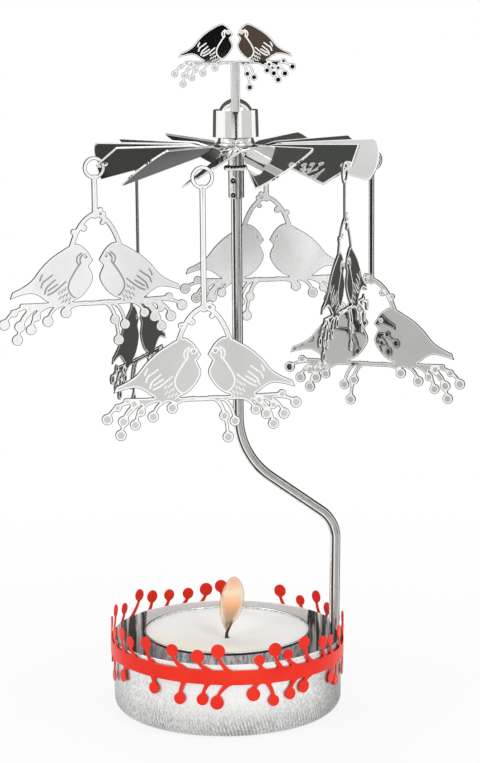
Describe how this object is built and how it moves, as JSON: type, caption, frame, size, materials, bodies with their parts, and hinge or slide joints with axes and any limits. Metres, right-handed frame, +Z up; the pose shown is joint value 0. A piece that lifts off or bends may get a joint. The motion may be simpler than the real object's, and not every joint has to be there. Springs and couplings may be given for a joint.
{
  "type": "rotary candle carousel",
  "caption": "Steel cup for a tealight with a bent pole that carries a vaned rotor, hung with flat bird-and-branch charms, which turns in the rising warm air.",
  "frame": {"origin": "centre of the cup's flat underside, on the table", "axes": "+Z up along the cup's axis, +X towards the side where the pole rises, -Y towards the front of the picture"},
  "size_m": [0.1028, 0.085, 0.1546],
  "materials": {
    "satin_steel": "drawn sheet steel, satin outside with a fine upright grain, brighter inside",
    "red_paint": "smooth red paint, slightly glossy",
    "bright_steel": "bright polished steel",
    "mirror_steel": "mirror polished stainless sheet, etched lines on one face of the charms",
    "foil": "thin bright pressed aluminium",
    "wax": "smooth white candle wax, slightly see-through",
    "wick": "charred braided cotton"
  },
  "bodies": {
    "base": {"cup": "satin_steel", "berry_band": "red_paint", "pole": "bright_steel", "ferrule": "bright_steel", "ferrule_collar": "bright_steel", "spindle_pin": "bright_steel"},
    "rotor": {"rotor_vanes": "mirror_steel", "pivot_cap": "bright_steel", "clamp_sleeve": "bright_steel", "topper": "mirror_steel"},
    "long_right": {"charm_long_right": "mirror_steel"},
    "short_rear": {"charm_short_rear": "mirror_steel"},
    "long_rear": {"charm_long_rear": "mirror_steel"},
    "short_left": {"charm_short_left": "mirror_steel"},
    "long_front": {"charm_long_front": "mirror_steel"},
    "short_right": {"charm_short_right": "mirror_steel"},
    "tealight": {"tealight_cup": "foil", "tealight_wax": "wax", "wick": "wick", "wick_sustainer": "foil"}
  },
  "joints": [
    {"name": "rotor_spin", "type": "hinge", "parent": "base", "child": "rotor", "pos_m": [0.00305, 0, 0.1376], "axis": [0, 0, 1], "continuous": true},
    {"name": "swing_long_right", "type": "hinge", "parent": "rotor", "child": "long_right", "pos_m": [0.03364, 0.00961, 0.12555], "axis": [0.3355, 0.9421, 0], "range_deg": [-10, 10]},
    {"name": "swing_short_rear", "type": "hinge", "parent": "rotor", "child": "short_rear", "pos_m": [0.01028, 0.03044, 0.12537], "axis": [-0.1633, 0.9866, 0], "range_deg": [-10, 10]},
    {"name": "swing_long_rear", "type": "hinge", "parent": "rotor", "child": "long_rear", "pos_m": [-0.0198, 0.02152, 0.12538], "axis": [-0.9583, 0.2857, 0], "range_deg": [-10, 10]},
    {"name": "swing_short_left", "type": "hinge", "parent": "rotor", "child": "short_left", "pos_m": [-0.02777, -0.01085, 0.12604], "axis": [0.3322, -0.9432, 0], "range_deg": [-10, 10]},
    {"name": "swing_long_front", "type": "hinge", "parent": "rotor", "child": "long_front", "pos_m": [-0.00418, -0.03044, 0.12537], "axis": [0.1633, -0.9866, 0], "range_deg": [-10, 10]},
    {"name": "swing_short_right", "type": "hinge", "parent": "rotor", "child": "short_right", "pos_m": [0.02587, -0.02151, 0.12538], "axis": [0.9532, -0.3024, 0], "range_deg": [-10, 10]},
    {"name": "tealight_lift", "type": "slide", "parent": "base", "child": "tealight", "axis": [0, 0, 1], "range_m": [0, 0.018]}
  ]
}
